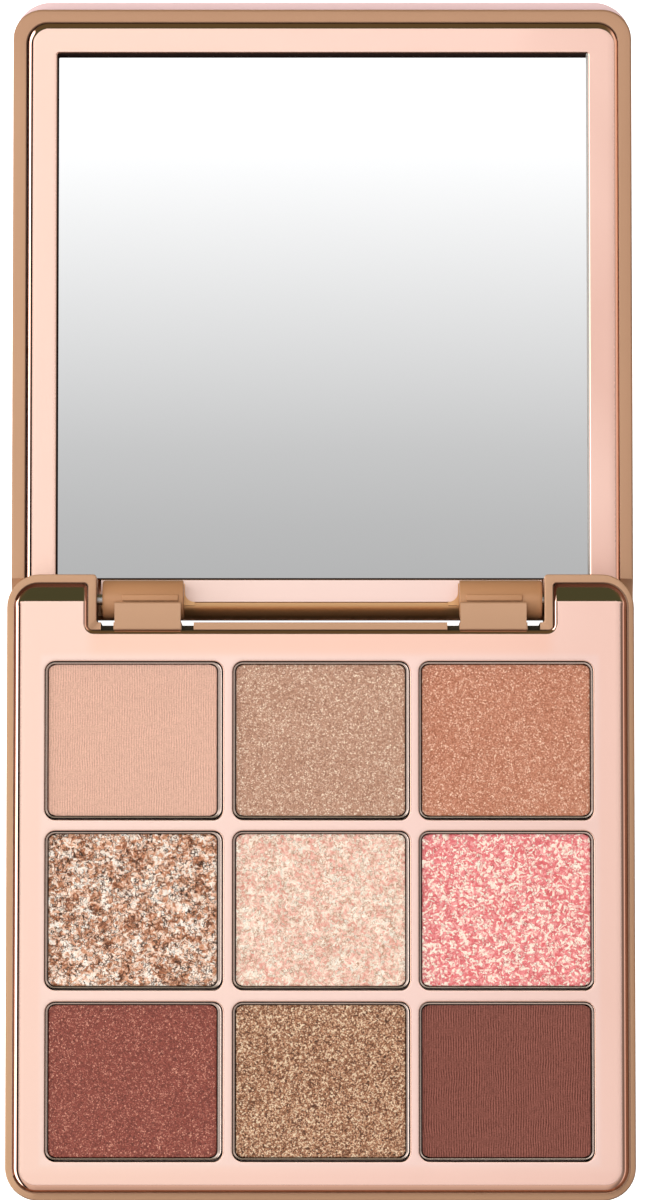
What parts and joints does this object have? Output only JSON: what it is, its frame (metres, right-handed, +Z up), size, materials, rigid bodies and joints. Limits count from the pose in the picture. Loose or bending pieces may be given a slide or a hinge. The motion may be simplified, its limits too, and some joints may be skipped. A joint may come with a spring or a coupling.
{
  "type": "eyeshadow palette",
  "caption": "Square makeup compact lying open flat: mirrored hinged lid behind a rose deck holding a grid of pressed eyeshadow pans.",
  "frame": {"origin": "on the resting surface, under the middle of the open palette", "axes": "+Z up out of the deck, +Y from the pans towards the mirror, +X to the user's right"},
  "size_m": [0.0876, 0.1696, 0.0115],
  "materials": {
    "caramel_plastic": "satin moulded caramel plastic",
    "rose_metallised": "vacuum-metallised rose gold plastic",
    "rose_cover": "soft pink lacquered plastic",
    "mirror": "silvered glass",
    "mounting_tape": "double-sided tape",
    "steel_plate": "plain sheet",
    "pin_steel": "bright drawn wire",
    "magnet": "nickel plated",
    "pan_aluminium": "pressed aluminium",
    "pan_glue": "cured glue",
    "powder_r1c1": "matte peach pressed powder",
    "powder_r1c2": "fine shimmer taupe pressed powder",
    "powder_r1c3": "fine shimmer copper pressed powder",
    "powder_r2c1": "coarse glitter bronze flakes",
    "powder_r2c2": "glitter champagne flakes",
    "powder_r2c3": "glitter pink flakes",
    "powder_r3c1": "shimmer brick pressed powder",
    "powder_r3c2": "metallic bronze pressed powder",
    "powder_r3c3": "matte chocolate pressed powder"
  },
  "bodies": {
    "base": {"base_cover": "rose_cover", "base_shell": "caramel_plastic", "deck_tray": "rose_metallised", "weight_plate": "steel_plate", "hinge_pin_left": "pin_steel", "hinge_pin_right": "pin_steel", "base_magnet_left": "magnet", "base_magnet_right": "magnet", "pan_r1c1": "pan_aluminium", "powder_r1c1": "powder_r1c1", "pan_glue_r1c1": "pan_glue", "pan_r1c2": "pan_aluminium", "powder_r1c2": "powder_r1c2", "pan_glue_r1c2": "pan_glue", "pan_r1c3": "pan_aluminium", "powder_r1c3": "powder_r1c3", "pan_glue_r1c3": "pan_glue", "pan_r2c1": "pan_aluminium", "powder_r2c1": "powder_r2c1", "pan_glue_r2c1": "pan_glue", "pan_r2c2": "pan_aluminium", "powder_r2c2": "powder_r2c2", "pan_glue_r2c2": "pan_glue", "pan_r2c3": "pan_aluminium", "powder_r2c3": "powder_r2c3", "pan_glue_r2c3": "pan_glue", "pan_r3c1": "pan_aluminium", "powder_r3c1": "powder_r3c1", "pan_glue_r3c1": "pan_glue", "pan_r3c2": "pan_aluminium", "powder_r3c2": "powder_r3c2", "pan_glue_r3c2": "pan_glue", "pan_r3c3": "pan_aluminium", "powder_r3c3": "powder_r3c3", "pan_glue_r3c3": "pan_glue"},
    "lid": {"lid_cover": "rose_cover", "lid_tray": "caramel_plastic", "mirror_frame": "rose_metallised", "mirror_glass": "mirror", "mirror_tape": "mounting_tape", "lid_magnet_left": "magnet", "lid_magnet_right": "magnet"}
  },
  "joints": [
    {"name": "lid_hinge", "type": "hinge", "parent": "base", "child": "lid", "pos_m": [0, -0.00092, 0.0081], "axis": [1, 0, 0], "range_deg": [0, 180]}
  ]
}
